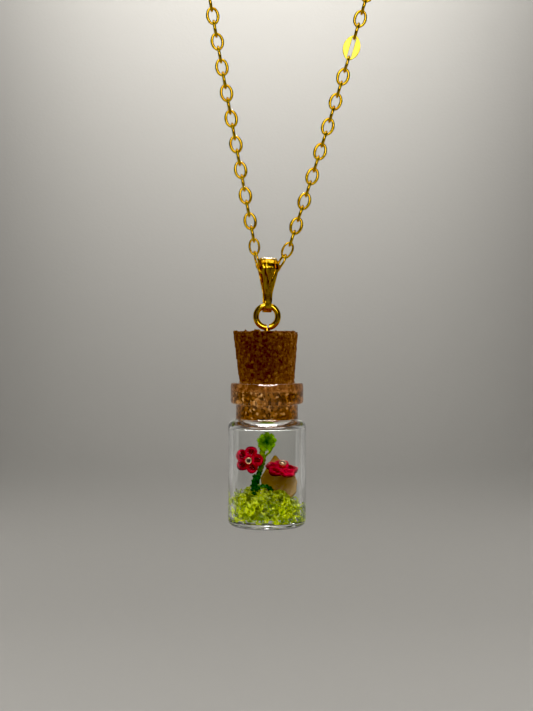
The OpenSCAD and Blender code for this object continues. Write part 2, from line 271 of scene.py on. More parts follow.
# %% [markdown]
# ## Camera
#
# The camera comes first, because every later choice is judged through it. The photograph looks almost level
# at the vial from about 22 cm, with the chain running out of the top of the picture. A distance and a lens
# are one choice: the lens is given in pixels, and the distance follows from how large the vial shows.

# %% Camera
PIXELS_PER_MM = 5.977
LENS_PIXELS = 1300
CAMERA_NEAR = LENS_PIXELS / PIXELS_PER_MM * MM
PICTURE_TALL = 711
SENSOR = 36
EYE_LEVEL = VIAL_Z + 31.9 * MM
LEFT_OF_VIAL = 0.08 * MM
LOOK_DOWN = radians(0.9)

bpy.ops.object.camera_add(
    location=(VIAL_X - LEFT_OF_VIAL, -CAMERA_NEAR, EYE_LEVEL), rotation=(pi / 2 - LOOK_DOWN, 0, 0)
)
camera = bpy.context.object
camera.data.sensor_width = SENSOR
camera.data.lens = LENS_PIXELS / PICTURE_TALL * SENSOR
camera.data.clip_start = 0.005
camera.data.clip_end = 20
bpy.context.scene.camera = camera
print(f"camera {1000 * CAMERA_NEAR:.0f} mm away, lens {camera.data.lens:.1f} mm")

# %% [markdown]
# ## Finishes
#
# Each finish is made once and named for its piece. All of them read millimetres from the vial's base, so a
# grain of 0.4 mm is typed as such and stays the same size on every piece.
#
# The metal is brass with a thin gold plating. One function makes it for all the metal pieces: the colour and
# the polish drift a little, fine dents break up the reflections, and the bail also has the brushed lines
# that its sheet keeps from rolling. The stamped link is flatter and catches the light as a whole, and its
# gold is painted paler all over, a painted highlight.

# %% Gold plating
GOLD = (1.0, 0.64, 0.05, 1)
TARNISH = (0.8, 0.38, 0.012, 1)
BRUSH_MARK = (0.36, 0.16, 0.01, 1)


def gold(name, colour=GOLD, tarnish=TARNISH, rough=0.13, dents=0.012, brushed=0.0):
    """Plated metal, with brushed lines where it is rolled sheet."""
    f = Finish(name)
    where = f.place()
    drift = f.noise(where, 0.9, 4)
    grain = f.noise(where, 9, 3)
    wear = f.ramp(drift, 0.45, 0.8)
    colour = f.blend(wear, colour, tarnish)
    polish = rough + 0.14 * f.ramp(grain, 0.4, 0.8)
    waves = f.noise(where, 2.2, 2)
    lines = f.noise(f.place(stretch=(1, 1, 0.1)), 3.4, 3, 0.6)
    if brushed:
        colour = f.blend(f.ramp(lines, 0.48, 0.62, 0, 0.85), colour, BRUSH_MARK)
    normal = f.height(waves * 0.8 + grain * 0.2 + lines * brushed, dents)
    return f.done(f.shader(Base_Color=colour, Metallic=1.0, Roughness=polish, Normal=normal))


chain_gold = gold("chain_gold")
bail_gold = gold("bail_gold", rough=0.14, dents=0.03, brushed=1.6)
eye_gold = gold("eye_gold", rough=0.08, dents=0.006)
clasp_gold = gold("clasp_gold")
# the stamped link's gold is painted paler, a painted highlight
pressed_gold = gold("pressed_gold", (1.0, 0.81, 0.09, 1), (1.0, 0.72, 0.05, 1), rough=0.3, dents=0.03)

# %% [markdown]
# The beads are copper-gold metal. The bore of each holds a knot of the thread that sews it on, and the
# finish paints near-black shade within the bore, by a mark on the mesh.

# %% Bead metal
f = Finish("bead_metal")
grain = f.noise(f.place(), 7, 3)
bore = f.node("Attribute", {"attribute_name": "bore"}, out=2)
colour = f.blend(f.ramp(grain, 0.4, 0.7), (1.0, 0.74, 0.46, 1), (0.85, 0.5, 0.26, 1))
# painted shade: near black within the bore
colour = f.blend(bore, colour, (0.012, 0.004, 0.004, 1))
bead_metal = f.done(f.shader(Base_Color=colour, Metallic=1.0 - bore, Roughness=0.22 + 0.6 * bore))

# %% [markdown]
# The vial is drawn from glass tube and its neck is reworked in a flame. So the body has long, very faint
# ripples, and above it the surface is wavier, which breaks the highlights of the shoulder. Light that only
# passes on its way to a lamp goes straight through, so that the shadow inside stays as light as in glass.

# %% Clear glass
REWORKED_FROM = 15.5
REWORKED_FULL = 17.0
GLASS_WAVE = 0.05

f = Finish("vial_glass")
ripple = f.noise(f.place(stretch=(1, 1, 0.35)), 0.35, 2)
pulled = f.noise(f.place(stretch=(1, 1, 0.8)), 0.9, 3)
reworked = f.ramp(f.part(f.place(), "Z"), REWORKED_FROM, REWORKED_FULL)
clear = f.shader(
    Base_Color=(0.99, 0.998, 0.99, 1),
    Roughness=0.0,
    IOR=1.5,
    Transmission_Weight=1.0,
    Normal=f.height(ripple * 0.5 + 0.9 * pulled * reworked, GLASS_WAVE),
)
lamp_ray = f.node("LightPath", out=1)
open_way = f.node("BsdfTransparent", {}, {"Color": (0.95, 0.96, 0.95, 1)})
vial_glass = f.done(f.node("MixShader", {}, {0: lamp_ray, 1: clear, 2: open_way}))

# %% [markdown]
# The stopper is pressed from cork crumbs. Dry cork is a warm light brown with darker crumbs, cracks and
# pits. In the neck the glue has wetted it, so there the same crumbs are darker, glossier and stronger in
# contrast, with a few pale ones. One finish makes both, and changes over just under the rim of the glass.

# %% Cork
CORK_GLUED_TO = 23.6
CORK_WET_TO = 22.5

f = Finish("cork_bark")
where = f.place()
crumbs = f.cells(where, 2.4, out=1)
crumb_tone = f.part(crumbs, "X")
crumb_edge = f.cells(where, 2.4, "DISTANCE_TO_EDGE")
fine = f.noise(where, 6, 6, 0.7)
streak = f.noise(f.place(stretch=(1, 1, 0.6)), 1.6, 5, 0.6)
tone = f.ramp(crumb_tone * 0.2 + fine * 0.6 + streak * 0.5, 0.42, 0.95)
granule = f.part(f.cells(where, 2.6, out=1), "X")
wet_tone = f.ramp(granule * 0.7 + fine * 0.45, 0.1, 1.05)
dry = f.node("ValToRGB", {"stops": [
    (0.0, paint(78, 40, 14)),
    (0.5, paint(122, 76, 32)),
    (1.0, paint(172, 120, 62)),
]}, {0: tone})
wet = f.node("ValToRGB", {"stops": [
    (0.0, paint(34, 12, 2)),
    (0.4, paint(80, 45, 4)),
    (0.9, paint(124, 77, 14)),
    (0.955, paint(170, 130, 76)),
    (1.0, paint(206, 180, 138)),
]}, {0: wet_tone})
height = f.part(where, "Z") + 0.5 * streak
glued = f.ramp(height, CORK_WET_TO + 0.5, CORK_WET_TO)
body = f.blend(glued, dry, wet)
crack = f.ramp(crumb_edge, 0.06, 0.0) * f.ramp(fine, 0.42, 0.6)
pit = f.ramp(f.noise(where, 1.4, 3, 0.6), 0.66, 0.7)
speck = f.ramp(f.noise(where, 5.5, 2, 0.5), 0.63, 0.69)
dark = f.ramp(crack + pit + speck, 0.0, 1.0)
body = f.blend(dark * (0.85 - 0.3 * glued), body, paint(34, 14, 4))
relief_here = f.height(crumb_edge * 0.4 + fine * 0.7 - pit - speck * 0.5, 0.12)
cork_bark = f.done(f.shader(
    Base_Color=body, Roughness=0.85 - 0.5 * glued, Specular_IOR_Level=0.25, Normal=relief_here,
))

# %% [markdown]
# The flowers, the bud and the stem are dyed cotton. Stitches shade each other, and the finish paints that
# shade: the hollows are deep in colour and what stands up is bright. A petal has a mark on its mesh for how
# far it stands up. The bud and the stem are small enough to go by the distance from one point: the bud is
# painted darker round its middle as shade, and the stem is darker towards its foot.

# %% Thread
def thread_finish(name, deep, bright, sheen, heart=None, reach=(0, 1), shaded_by_rise=False):
    """Dyed cotton, painted darker in its hollows as shade, and darker round its heart."""
    f = Finish(name)
    where = f.place()
    blot = f.noise(where, 1.6, 3)
    fibre = f.noise(where, 14, 4, 0.7)
    # the share of the bright colour: random tone, and below it painted shade
    light = f.ramp(blot * 0.6 + fibre * 0.5, 0.38, 0.72)
    if heart:
        away = f.node("VectorMath", {"operation": "LENGTH"}, {0: f.place(heart)}, 1)
        # darker round the heart: painted shade in the bud's middle, and the stem darker towards its foot
        light = light * f.ramp(away + 0.6 * blot, *reach)
    if shaded_by_rise:
        rise = f.node("Attribute", {"attribute_name": "rise"}, out=2)
        # painted shade: low stitches get the deep colour, raised ones the bright
        light = f.ramp(rise + 0.35 * light, 0.45, 1.25)
    colour = f.blend(light, deep, bright)
    normal = f.height(fibre, 0.05)
    return f.done(f.shader(
        Base_Color=colour, Roughness=0.55, Specular_IOR_Level=0.12, Normal=normal,
        Sheen_Weight=0.03, Sheen_Roughness=0.4, Sheen_Tint=sheen,
    ))


BUD_MIDDLE = (0, 0.11, 14.1)
STEM_FOOT = (-1.5, -0.3, 5.5)
crimson_thread = thread_finish(
    "flower_thread", paint(44, 0, 4), paint(170, 0, 40), paint(255, 90, 150), shaded_by_rise=True
)
leaf_thread = thread_finish(
    "leaf_thread", paint(2, 54, 0), paint(138, 180, 4), paint(190, 230, 90), BUD_MIDDLE, (0.7, 1.7)
)
stem_thread = thread_finish(
    "stem_thread", paint(4, 52, 0), paint(128, 146, 8), paint(120, 180, 60), STEM_FOOT, (2.5, 8)
)

# %% [markdown]
# The filling is thin, shiny film, cut in narrow strips. Each patch has its own green, from lime to olive,
# the heap is painted darker deep inside as shade, and browner towards its top. Film lets light through, so
# part of the finish glows from behind in one even colour, and its clear coat and its creases give
# small glints.

# %% Shredded filling
OLIVE_SHADE = paint(84, 84, 0)
OLIVE_TOP = paint(88, 84, 0)
FILM_GLOW = paint(150, 164, 10)
FILM_SHARE = 0.45

f = Finish("shred_green")
where = f.place()
patch = f.part(f.cells(where, 1.7, out=1), "X") * 0.7 + f.noise(where, 1.1, 3) * 0.6
colour = f.blend(f.ramp(patch, 0.3, 0.95), paint(92, 120, 0), paint(208, 222, 24))
from_axis = f.node("VectorMath", {"operation": "LENGTH"}, {0: f.place(stretch=(1, 1, 0))}, 1)
# painted shade: darker low down and near the axis, deep inside the heap
heap_shade = f.ramp(f.part(where, "Z"), 5.6, 4.2) * f.ramp(from_axis, 4.9, 4.1)
colour = f.blend(heap_shade * 0.6, colour, OLIVE_SHADE)
colour = f.blend(f.ramp(f.part(where, "Z"), 3.0, 6.5) * 0.6, colour, OLIVE_TOP)
crumple = f.height(f.noise(where, 2.6, 2), 0.2)
gloss = f.shader(
    Base_Color=colour, Roughness=0.2, Coat_Weight=1.0, Coat_Roughness=0.04, Coat_IOR=1.6, Normal=crumple
)
through = f.node("BsdfTranslucent", {}, {"Color": FILM_GLOW})
shred_green = f.done(f.node("MixShader", {}, {0: FILM_SHARE, 1: gloss, 2: through}))

# %% [markdown]
# The stone is a tumbled, polished chip of cloudy honey-brown stone. It is darker towards its left side and
# paler towards its right, with faint clouds. It lets more light through than the film does.

# %% Stone chip
STONE_GLOW = paint(140, 108, 32)
STONE_SHARE = 0.6
CLOUD = paint(236, 220, 190)

f = Finish("chip_stone")
where = f.place()
across = f.ramp(f.part(where, "X") + 1.5 * f.noise(where, 0.4, 2), -0.2, 6.0)
stone = f.node("ValToRGB", {"stops": [
    (0.0, paint(132, 102, 18)),
    (0.45, paint(128, 96, 20)),
    (0.75, paint(138, 106, 34)),
    (1.0, paint(176, 144, 80)),
]}, {0: across})
stone = f.blend(0.14 * f.ramp(f.noise(where, 0.9, 3, 0.5), 0.35, 0.75), stone, CLOUD)
hollows = f.height(f.noise(where, 1.1, 2), 0.25)
solid = f.shader(Base_Color=stone, Roughness=0.1, IOR=1.54, Normal=hollows)
through = f.node("BsdfTranslucent", {}, {"Color": STONE_GLOW})
chip_stone = f.done(f.node("MixShader", {}, {0: STONE_SHARE, 1: solid, 2: through}))
print(len(bpy.data.materials), "materials so far")

# %% [markdown]
# ## Turned pieces
#
# The vial and the cork are round about the vial's axis, so each is an outline turned once about it. One
# vertex is extruded along the outline and then spun.


# %% Turning
def bend(centre, radius, start, end, steps=6):
    """Points of an arc in the outline, by angles in degrees."""
    return [
        (centre[0] + radius * cos(a), centre[1] + radius * sin(a))
        for a in (radians(start + (end - start) * k / steps) for k in range(steps + 1))
    ]


def turned(name, outline, steps):
    bpy.ops.mesh.primitive_plane_add(size=1)
    piece = new_piece(name)
    with edit_mode(piece):
        bpy.ops.mesh.merge(type="CENTER")
        bpy.ops.transform.translate(value=(outline[0][0], 0, outline[0][1]))
        for (r0, z0), (r1, z1) in zip(outline, outline[1:]):
            bpy.ops.mesh.extrude_vertices_move(TRANSFORM_OT_translate={"value": (r1 - r0, 0, z1 - z0)})
        bpy.ops.mesh.select_all(action="SELECT")
        bpy.ops.mesh.spin(steps=steps, angle=2 * pi, center=(0, 0, 0), axis=(0, 0, 1))
        bpy.ops.mesh.select_all(action="SELECT")
        bpy.ops.mesh.remove_doubles(threshold=0.001)
        bpy.ops.mesh.normals_make_consistent(inside=False)
    return piece

# %% [markdown]
# ## The glass vial
#
# The vial is one closed shell: its outline runs from the middle of the base up the outside, over the lip,
# down the bore and back to the middle of the floor inside. The base is pushed up a little, so it stands on a
# rim, and each corner is round, because glass never sets with a sharp one. The wall's real thickness is
# there, since it is what makes the edges look dark and bright.

# %% The glass vial
BODY_R = 6.5
VIAL_TALL = 24
BORE_R = 4.65
CAVITY_R = 5.55
FLOOR = 1
SHOULDER = 17.8
NECK_R = 5.2
LIP_R = 6.1
LIP_LOW = 20.4
PUSHED_UP = [(0, 0.18), (3.6, 0.12), (5.0, 0.02)]
HEEL = 1
SHOULDER_BEND = 1.2
NECK_BEND = 0.25
UNDER_LIP = 0.2
LIP_BEND = 0.5
MOUTH_BEND = 0.4
THROAT = SHOULDER - 0.8
THROAT_BEND = 0.15
CEILING = SHOULDER - 0.95
INSIDE_BEND = 0.7

glass_outline = PUSHED_UP + bend((BODY_R - HEEL, HEEL), HEEL, -90, 0, 8)
glass_outline += bend((BODY_R - SHOULDER_BEND, SHOULDER - SHOULDER_BEND), SHOULDER_BEND, 0, 90, 10)
glass_outline += bend((NECK_R + NECK_BEND, SHOULDER + NECK_BEND), NECK_BEND, -90, -180, 4)
glass_outline += bend((NECK_R + UNDER_LIP, LIP_LOW - UNDER_LIP), UNDER_LIP, 180, 90, 4)
glass_outline += bend((LIP_R - LIP_BEND, LIP_LOW + LIP_BEND), LIP_BEND, -90, 0)
glass_outline += bend((LIP_R - LIP_BEND, VIAL_TALL - LIP_BEND), LIP_BEND, 0, 90)
glass_outline += bend((BORE_R + MOUTH_BEND, VIAL_TALL - MOUTH_BEND), MOUTH_BEND, 90, 180)
glass_outline += bend((BORE_R + THROAT_BEND, THROAT), THROAT_BEND, 180, 270, 3)
glass_outline += bend((CAVITY_R - INSIDE_BEND, CEILING - INSIDE_BEND), INSIDE_BEND, 90, 0, 8)
glass_outline += bend((CAVITY_R - INSIDE_BEND, FLOOR + INSIDE_BEND), INSIDE_BEND, 0, -90, 8)
glass_outline += [(2.5, FLOOR + 0.05), (0, FLOOR + 0.1)]
bottle = turned("glass_vial", glass_outline, 128)
smooth(bottle, 50)
settle(bottle)
hand_over(bottle, "pendant", vial_glass, "vial_glass", "bottle")

# %% [markdown]
# ## The cork
#
# The stopper is a cone that the neck squeezes to its own bore. It is turned with many rows and columns,
# since crumbs and pits are pushed into its skin afterwards by displacement with cloud and cell textures. Its
# top edge is bitten out in places. The real one leans a little to the left, and so does this.

# %% The cork
CORK_LOW = 17.5
CORK_TOP = 32.6
CORK_TOP_R = 5.5
HOLE_R = 0.495
HOLE_DEEP = 5
CORK_ROWS = 110
CORK_EDGE = 0.2
LEAN_FROM = (24.5, 26, 28, 30)
LEAN_STEP = 0.05


def cork_radius(z):
    if z < CORK_GLUED_TO:
        return BORE_R + 0.02
    if z < VIAL_TALL:
        return BORE_R - 0.03
    return BORE_R - 0.03 + (CORK_TOP_R - BORE_R) * (z - VIAL_TALL) / (CORK_TOP - VIAL_TALL)


cork_outline = [(0, CORK_LOW)] + [(r * (BORE_R - 0.25) / 18, CORK_LOW) for r in range(1, 19)]
cork_outline += [
    (cork_radius(z), z)
    for z in (CORK_LOW + 0.25 + (CORK_TOP - CORK_LOW - 0.45) * k / CORK_ROWS for k in range(CORK_ROWS + 1))
]
top_r = CORK_TOP_R - CORK_EDGE
cork_outline += [(top_r - (top_r - HOLE_R) * k / 24, CORK_TOP) for k in range(25)]
cork_outline += [(HOLE_R, CORK_TOP - HOLE_DEEP), (0, CORK_TOP - HOLE_DEEP)]
cork = turned("cork_stopper", cork_outline, 160)
with edit_mode(cork):
    for rise in LEAN_FROM:
        pick(cork, lambda co: co.z > rise and hypot(co.x, co.y) > 1)
        bpy.ops.transform.translate(value=(-LEAN_STEP, 0, 0))


def relief(name, kind, scale, **settings):
    texture = bpy.data.textures.new(name, kind)
    texture.noise_scale = scale
    for key, value in settings.items():
        setattr(texture, key, value)
    return texture


outside = cork.vertex_groups.new(name="outside")
for vertex in cork.data.vertices:
    if vertex.co.z > VIAL_TALL + 0.2 and hypot(vertex.co.x, vertex.co.y) > 0.8:
        outside.add([vertex.index], 1, "ADD")
rim = cork.vertex_groups.new(name="rim")
for vertex in cork.data.vertices:
    if vertex.co.z > CORK_TOP - 0.5 and hypot(vertex.co.x, vertex.co.y) > CORK_TOP_R - 0.7:
        rim.add([vertex.index], 0.5 + 0.5 * (vertex.co.z > CORK_TOP - CORK_EDGE), "ADD")
crumb_relief = relief("crumbs", "VORONOI", 0.8, weight_1=-1.0, weight_2=1.0)
pit_relief = relief("pits", "CLOUDS", 0.45, noise_depth=2, contrast=3.0, intensity=0.9)
chip_relief = relief("edge_chips", "CLOUDS", 1.1, noise_depth=3, contrast=4.0, intensity=0.8)
modifier(cork, "DISPLACE", texture=crumb_relief, strength=0.12, mid_level=0.3, vertex_group="outside")
modifier(cork, "DISPLACE", texture=pit_relief, strength=0.12, mid_level=0.8, vertex_group="outside")
modifier(cork, "DISPLACE", texture=chip_relief, strength=0.5, mid_level=1.0, vertex_group="rim")
smooth(cork, 60)
settle(cork)
hand_over(cork, "pendant", cork_bark, "cork_bark", "cork")

# %% [markdown]
# ## Metal on the cork
#
# The screw eye is one bright wire, bent to a ring that ends just short of its own shank, so a small V shows
# at the bottom. A circle is swept round by spin and stops there. The shank is a bevelled pin down into the
# cork.

# %% The screw eye
EYE_WIRE = 1.0
EYE_RING_R = (4.66 - EYE_WIRE) / 2
SHANK_R = 0.465
EYE_Z = CORK_TOP + 2.4
SHANK = 5.4
SEAM_PRESS = 0.12
SEAM = degrees(asin((EYE_WIRE / 2 - SEAM_PRESS) / EYE_RING_R))

bpy.ops.mesh.primitive_circle_add(
    vertices=24, radius=EYE_WIRE / 2, location=(0, 0, -EYE_RING_R), rotation=(0, pi / 2, 0)
)
eye = new_piece("eye_wire")
bpy.ops.object.transform_apply(location=True, rotation=True, scale=True)
with edit_mode(eye):
    bpy.ops.mesh.select_all(action="SELECT")
    bpy.ops.mesh.spin(steps=96, angle=radians(360 - SEAM), center=(0, 0, 0), axis=(0, -1, 0))
    bpy.ops.mesh.edge_face_add()
    bpy.ops.mesh.select_all(action="SELECT")
    bpy.ops.mesh.normals_make_consistent(inside=False)
    bpy.ops.transform.translate(value=(0, 0, EYE_Z))
smooth(eye, 50)
shank_top = EYE_Z - EYE_RING_R
bpy.ops.mesh.primitive_cylinder_add(
    vertices=24, radius=SHANK_R, depth=SHANK, location=(0, 0, shank_top - SHANK / 2)
)
shank = bpy.context.object
modifier(shank, "BEVEL", width=0.08, segments=3)
smooth(shank)
eye = joined("eye_wire", [eye, shank])
settle(eye)
hand_over(eye, "pendant", eye_gold, "eye_gold", "screw_eye")

# %% [markdown]
# The bail is one strip of sheet, folded over the chain as a tube and pinched together as a hook through the
# ring. Its front is pressed: two grooves run down from the tube's edge and meet two thirds of the way down,
# and its long edges roll back. A grid is laid along the strip's side line, made thick, and bevelled.

# %% The bail
BAIL_DROP = 5.95
TUBE_R = 1.62
HOOK_R = 0.88
SHEET = 0.34
HOOK_Z = EYE_Z + EYE_RING_R + 0.06
BAIL_LEAN = 1.8
BAIL_YAW = 12
HOOK_W = 1.04
HOOK_SWELL = 0.36
BAIL_W = 2.76
TAPER_H = 1.9
GROOVE = 0.14
GROOVE_W = 0.12
GROOVES_MEET = 3.1
EDGE_ROLL = 0.26
BAIL_COLUMNS = 28

big = TUBE_R + SHEET / 2
small = HOOK_R + SHEET / 2
slope = asin((big - small) / BAIL_DROP)


def straight_run(start, end, count=26):
    return [tuple(a + (b - a) * k / count for a, b in zip(start, end)) for k in range(1, count)]


side_line = bend((0, 0), small, -90, -180 + degrees(-slope), 14)
front_head = (-big * cos(slope), BAIL_DROP + big * sin(slope))
side_line += straight_run(side_line[-1], front_head)
side_line += bend((0, BAIL_DROP), big, 180 - degrees(slope), degrees(slope), 44)
back_line = bend((0, 0), small, degrees(slope), -90, 14)
side_line += straight_run(side_line[-1], back_line[0]) + back_line[:-1]


def bail_half_width(z):
    if z < 0:
        return (HOOK_W + HOOK_SWELL * sin(min(1, -z / small) * pi / 2)) / 2
    share = min(1, max(0, (z - TAPER_H) / (BAIL_DROP - TAPER_H)))
    return (HOOK_W + (BAIL_W - HOOK_W) * share) / 2


def pressed_in(across, y, z):
    """How far the pressing pushes the front in, at a place across the strip."""
    if y > 0:
        return 0.0
    front = min(1, max(0, (z - 0.4) / 0.8)) * min(1, -y / 0.4)
    rolled = EDGE_ROLL * abs(across) ** 3
    groove_at = 0.62 * bail_half_width(z) * min(1, max(0, (z - GROOVES_MEET) / (BAIL_DROP - GROOVES_MEET)))
    here = abs(across) * bail_half_width(z)
    cut = GROOVE * max(0, 1 - ((here - groove_at) / GROOVE_W) ** 2) if z > GROOVES_MEET - 0.3 else 0
    return front * (rolled + cut)


bpy.ops.mesh.primitive_grid_add(x_subdivisions=BAIL_COLUMNS, y_subdivisions=len(side_line), size=1)
bail = new_piece("folded_bail")
wide = BAIL_COLUMNS + 1
for index, vertex in enumerate(bail.data.vertices):
    row, column = divmod(index, wide)
    y, z = side_line[row % len(side_line)]
    across = 2 * column / BAIL_COLUMNS - 1
    inward = Vector((0, y, z - (BAIL_DROP if z > BAIL_DROP else 0 if z < 0 else z))).normalized()
    vertex.co = Vector((across * bail_half_width(z), y, z)) - pressed_in(across, y, z) * inward
with edit_mode(bail):
    bpy.ops.mesh.select_all(action="SELECT")
    bpy.ops.mesh.remove_doubles(threshold=0.001)
    bpy.ops.mesh.normals_make_consistent(inside=False)
modifier(bail, "SOLIDIFY", thickness=SHEET, offset=0)
modifier(bail, "BEVEL", width=0.06, segments=2, limit_method="ANGLE", angle_limit=radians(50))
smooth(bail, 45)
bail_place = (
    VIAL_PLACE
    @ Matrix.Translation((0, 0, HOOK_Z))
    @ Matrix.Rotation(radians(BAIL_LEAN), 4, "Y")
    @ Matrix.Rotation(radians(BAIL_YAW), 4, "Z")
)
settle(bail, bail_place)
hand_over(bail, "bail", bail_gold, "bail_gold", "bail")

# %% [markdown]
# ## Chain
#
# It is a cable chain: each link is turned a quarter against the next. Both strands lean out from the bail,
# bow a little, run up beyond the picture and close in an arc at the clasp. A link's place follows from the
# one before it, by the pitch and the lean, so only the few links by the bail need values of their own. The
# turn of the arc is found by halving until the two ends are just a clasp apart.

# %% Where each link goes
WIRE = 0.38
LINK_W = 2.28
PITCH = 2.17
LINK_GAP = 0.13
SIDE_LINKS = 102
ARC_LINKS = 28
FIRST_ARC = SIDE_LINKS - ARC_LINKS
BOWED_LINKS = 20
PRESSED_PLACE = 18
PRESSED_LEN = 4.5
PRESSED_W = 2.9
PRESSED_T = 0.26
SLIT_W = 0.68
SLIT_END = 0.42
CLASP_LEN = 12
PRESSED_REACH = PRESSED_LEN / 2 - SLIT_END - LINK_GAP / 2
TUBE = Vector((BAIL_DROP * sin(radians(BAIL_LEAN)), HOOK_Z + BAIL_DROP * cos(radians(BAIL_LEAN))))

# Each strand: its side, its first centre from the tube's, the lean, roll and slack of the links by the
# bail, the lean of the strand at the bail and above its bow, and the place of its odd link.
LEFT = dict(
    side=-1, start=(-0.82, 0.07), bend=[(51.9, 45, 0.052), (15.6, -74, 0), (5, 0, 0.015)],
    lean=(10.7, 9.9), special=None,
)
RIGHT = dict(
    side=1, start=(0.78, -0.09), bend=[(63.2, 45, 0.023), (29.1, -64, 0.003), (25, 0, 0.015)],
    lean=(18.3, 15.8), special=PRESSED_PLACE,
)


def link_lean(strand, i, turn):
    low, high = strand["lean"]
    near = strand["bend"]
    lean = near[i][0] if i < len(near) else low + (high - low) * min(1, (i - len(near)) / BOWED_LINKS)
    return lean - max(0, i - FIRST_ARC + 1) * turn * (90 + high) / ARC_LINKS


def link_roll(strand, i):
    near = strand["bend"]
    return near[i][1] if i < len(near) else (i - len(near) + 1) % 2 * 90


def outward(strand, lean):
    return Vector((strand["side"] * sin(radians(lean)), cos(radians(lean))))


def link_centres(strand, turn):
    """Centres of a strand's links in X and Z, and the point where the strand ends."""
    here = TUBE + Vector(strand["start"])
    centres = []
    for i in range(SIDE_LINKS):
        centres.append(here)
        slack = strand["bend"][i][2] if i < len(strand["bend"]) else 0
        for k in (i, i + 1):
            reach = PRESSED_REACH if k == strand["special"] else PITCH / 2
            here = here + (reach - slack) * outward(strand, link_lean(strand, k, turn))
    last = link_lean(strand, SIDE_LINKS - 1, turn)
    return centres, centres[-1] + PITCH / 2 * outward(strand, last)


def end_gap(turn):
    span = link_centres(RIGHT, turn)[1] - link_centres(LEFT, turn)[1]
    return span.length if span.x > 0 else -span.length


low_turn, high_turn = 0.5, 1.4
HALVINGS = 30
for _ in range(HALVINGS):
    turn = (low_turn + high_turn) / 2
    if end_gap(turn) > CLASP_LEN:
        low_turn = turn
    else:
        high_turn = turn
left_centres, left_end = link_centres(LEFT, turn)
right_centres, right_end = link_centres(RIGHT, turn)
print(f"the loop closes at a turn of {turn:.4f}; first links at {left_centres[0]}, {right_centres[0]}")

# %% [markdown]
# A link is an oval of wire. It is a curve circle, drawn long, with a round section that is stouter along
# its sides, where the real wire is pressed. One link is modelled and every other is a copy. The few that run
# through the bail come from a slimmer model, so that the bail can swing on them without touching.

# %% One link, copied along the strands
LINK_HALF = PITCH / 2 + LINK_GAP / 2 + WIRE
BEND_R = (LINK_W - WIRE) / 2


def link_model(name, width, side_swell, bend_swell):
    """One closed link, stouter at its sides than at the bends that hang in each other."""
    bpy.ops.curve.primitive_bezier_circle_add(radius=BEND_R, rotation=(pi / 2, 0, 0))
    model = new_piece(name)
    model.scale = (width, (LINK_HALF - WIRE / 2) / BEND_R, 1)
    bpy.ops.object.transform_apply(location=True, rotation=True, scale=True)
    for point in model.data.splines[0].bezier_points:
        point.radius = side_swell if abs(point.co.x) > 0.5 else bend_swell
    model.data.resolution_u = 5
    model.data.bevel_depth = WIRE / 2
    model.data.bevel_resolution = 2
    bpy.ops.object.convert(target="MESH")
    smooth(model, 80)
    return model


link = link_model("link", 0.93, 1.4, 1.12)
bail_link = link_model("bail_link", 0.84, 1.0, 1.0)
print("link faces:", len(link.data.polygons))


def copy_of(model, place):
    twin = model.copy()
    twin.data = model.data.copy()
    twin.matrix_world = place
    bpy.context.scene.collection.objects.link(twin)
    return twin


def link_place(strand, i, centre):
    return (
        Matrix.Translation((centre.x, 0, centre.y))
        @ Matrix.Rotation(radians(strand["side"] * link_lean(strand, i, turn)), 4, "Y")
        @ Matrix.Rotation(radians(link_roll(strand, i)), 4, "Z")
    )


def strand_piece(name, strand, centres):
    copies = [
        copy_of(bail_link if i < len(strand["bend"]) else link, link_place(strand, i, centre))
        for i, centre in enumerate(centres)
        if i != strand["special"]
    ]
    piece = joined(name, copies)
    settle(piece)
    return piece


for side, strand, centres in (("left", LEFT, left_centres), ("right", RIGHT, right_centres)):
    links = strand_piece(f"{side}_strand", strand, centres)
    hand_over(links, "chain", chain_gold, "chain_gold", f"chain_{side}")
bpy.data.objects.remove(link)
bpy.data.objects.remove(bail_link)

# %% [markdown]
# ## The pressed link
#
# One link of the right strand is stamped from flat sheet: a pointed oval with a narrow slit, which takes
# the links above and below. Its outline is two arcs, spun from one corner to the other and back, and the slit
# is a circle pulled long. The two rings are bridged, made thick and bevelled. The clasp behind the neck is
# the CAD's own piece and only gets the gold.

# %% A pointed oval with a slit
arc_r = ((PRESSED_LEN / 2) ** 2 + (PRESSED_W / 2) ** 2) / PRESSED_W
half_arc = asin(PRESSED_LEN / 2 / arc_r)
slit_straight = (PRESSED_LEN - 2 * SLIT_END - SLIT_W) / 2

bpy.ops.mesh.primitive_plane_add(size=1)
pressed = new_piece("pressed_oval")
with edit_mode(pressed):
    bpy.ops.mesh.merge(type="CENTER")
    bpy.ops.transform.translate(value=(0, 0, -PRESSED_LEN / 2))
    for side in (1, -1):
        bpy.ops.mesh.spin(
            steps=16, angle=2 * half_arc, center=(-side * (arc_r - PRESSED_W / 2), 0, 0), axis=(0, 1, 0)
        )
    bpy.ops.mesh.select_all(action="SELECT")
    bpy.ops.mesh.remove_doubles(threshold=0.001)
    bpy.ops.mesh.select_all(action="DESELECT")
    bpy.ops.mesh.primitive_circle_add(vertices=32, radius=SLIT_W / 2, rotation=(pi / 2, 0, 0))
    for end in (1, -1):
        pick(pressed, lambda co: co.length < SLIT_W and co.z * end > 0.001)
        bpy.ops.transform.translate(value=(0, 0, end * slit_straight))
    bpy.ops.mesh.select_all(action="SELECT")
    bpy.ops.mesh.bridge_edge_loops()
modifier(pressed, "SOLIDIFY", thickness=PRESSED_T, offset=0)
modifier(pressed, "BEVEL", width=0.05, segments=3, limit_method="ANGLE", angle_limit=radians(50))
smooth(pressed)
settle(pressed, VIAL_PLACE @ link_place(RIGHT, PRESSED_PLACE, right_centres[PRESSED_PLACE]))
hand_over(pressed, "chain", pressed_gold, "pressed_gold", "pressed_link")

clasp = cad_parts["clasp"]
clasp.data.materials.clear()
clasp.data.materials.append(clasp_gold)

